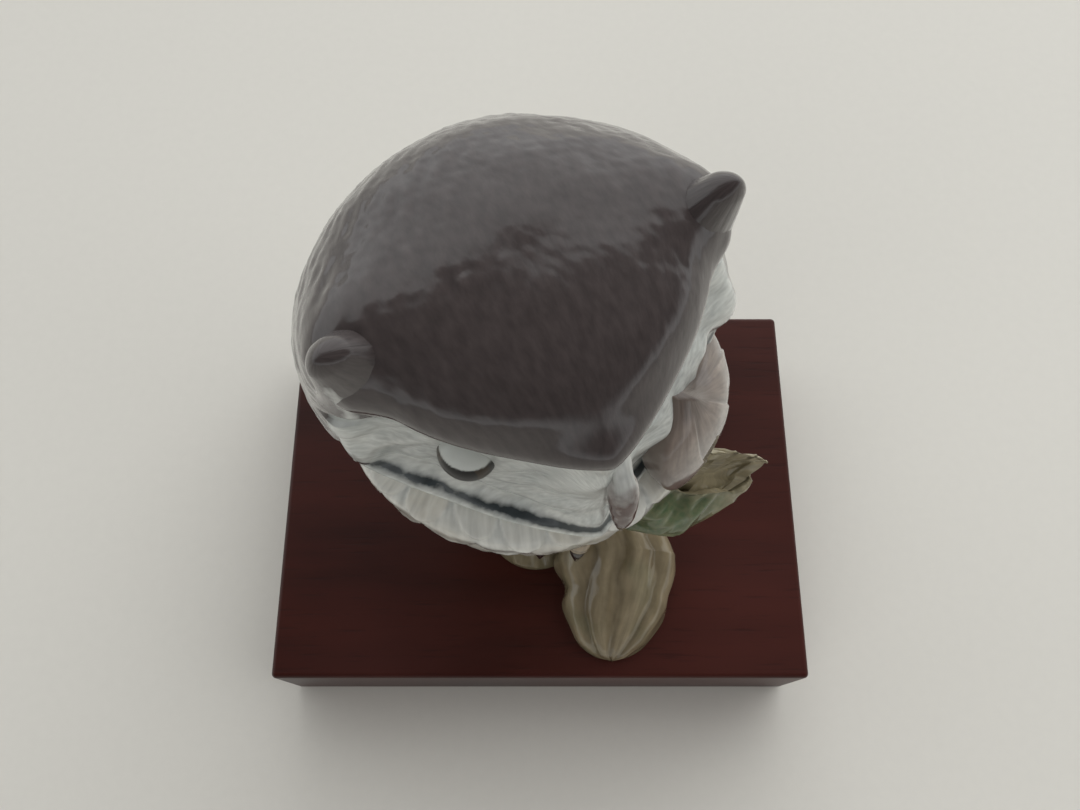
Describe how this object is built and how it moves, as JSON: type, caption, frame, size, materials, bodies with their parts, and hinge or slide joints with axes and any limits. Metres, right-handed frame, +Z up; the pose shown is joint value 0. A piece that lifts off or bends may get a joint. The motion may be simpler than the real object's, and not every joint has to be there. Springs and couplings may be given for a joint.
{
  "type": "owl figurine",
  "caption": "Glazed porcelain horned owl on a bark stump with a broken side branch, standing loose on a rectangular lacquered wooden plinth.",
  "frame": {"origin": "middle of the plinth's underside, on the surface that it stands on", "axes": "+Z up, +X to the owl's left, -Y the way the plinth's long front faces"},
  "size_m": [0.09, 0.0666, 0.1137],
  "materials": {
    "lacquered_wood": "satin lacquer over dark mahogany stain",
    "baize": "short felted nap",
    "stump_glaze": "painted bark under clear glaze",
    "branch_glaze": "painted bark and moss under clear glaze",
    "breast_glaze": "white body under clear glaze",
    "crown_glaze": "airbrushed grey-brown under clear glaze",
    "wing_glaze": "airbrushed brown-mauve under clear glaze",
    "beak_glaze": "hand-painted brown-pink under clear glaze"
  },
  "bodies": {
    "plinth": {"plinth_board": "lacquered_wood", "plinth_felt": "baize"},
    "porcelain": {"stump_casting": "stump_glaze", "front_root": "stump_glaze", "side_branch": "branch_glaze", "torso_casting": "breast_glaze", "head_casting": "crown_glaze", "beak": "beak_glaze", "left_ear_tuft": "crown_glaze", "right_ear_tuft": "crown_glaze", "left_wing": "wing_glaze", "right_wing": "wing_glaze", "tail": "wing_glaze", "left_foot": "beak_glaze", "right_foot": "beak_glaze"}
  },
  "joints": [
    {"name": "porcelain_lift", "type": "slide", "parent": "plinth", "child": "porcelain", "axis": [0, 0, 1], "range_m": [0, 0.05]}
  ]
}
